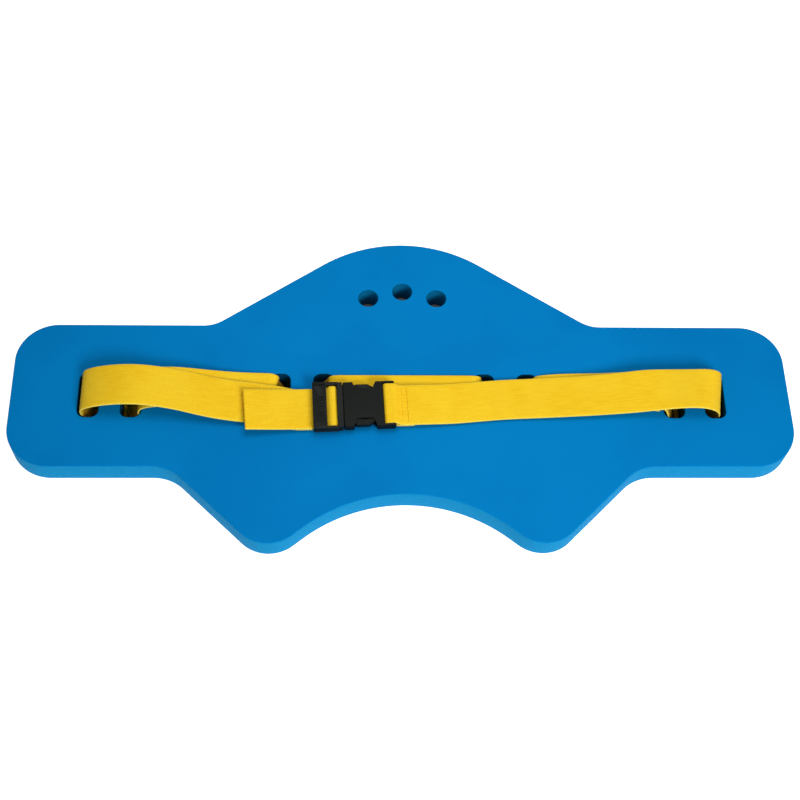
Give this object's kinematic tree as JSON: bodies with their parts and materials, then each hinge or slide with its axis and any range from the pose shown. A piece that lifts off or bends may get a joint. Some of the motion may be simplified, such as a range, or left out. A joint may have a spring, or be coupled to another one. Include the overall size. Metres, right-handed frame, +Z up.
{
  "type": "foam swim belt",
  "caption": "Flat foam flotation board shaped to the back, with a yellow webbing waist belt woven through slots and a black side-release buckle.",
  "frame": {"origin": "middle of the bounding box, on the surface that the belt's under-board runs rest on", "axes": "+X along the board's length, +Y towards its humped edge, +Z up out of the face that carries the buckle"},
  "size_m": [0.7, 0.3048, 0.0489],
  "materials": {
    "foam": "matte",
    "webbing": "matte",
    "thread": "matte",
    "buckle": "satin"
  },
  "bodies": {
    "board": {"foam_board": "foam", "webbing_weave": "webbing", "right_run": "webbing", "left_run": "webbing", "sewn_loop": "webbing", "loop_stitching": "thread", "buckle_socket": "buckle"},
    "plug": {"buckle_plug": "buckle", "ladder_wrap": "webbing", "tail_strap": "webbing"},
    "tail": {"tail_end": "webbing"},
    "arm_rear": {"release_arm_rear": "buckle"},
    "arm_front": {"release_arm_front": "buckle"}
  },
  "joints": [
    {"name": "buckle_pull", "type": "slide", "parent": "board", "child": "plug", "axis": [-0.999, -0.0436, 0], "range_m": [0, 0.03], "deforming": ["left_run"]},
    {"name": "press_rear", "type": "hinge", "parent": "plug", "child": "arm_rear", "pos_m": [-0.04848, -0.01033, 0.0343], "axis": [0, 0, -1], "range_deg": [0, 9], "stiffness_Nm_per_rad": 1.5},
    {"name": "press_front", "type": "hinge", "parent": "plug", "child": "arm_front", "pos_m": [-0.04722, -0.0393, 0.0343], "axis": [0, 0, 1], "range_deg": [0, 9], "stiffness_Nm_per_rad": 1.5},
    {"name": "tail_pull", "type": "slide", "parent": "plug", "child": "tail", "axis": [-0.9913, -0.0433, 0.124], "range_m": [0, 0.03], "deforming": ["tail_strap"]}
  ]
}
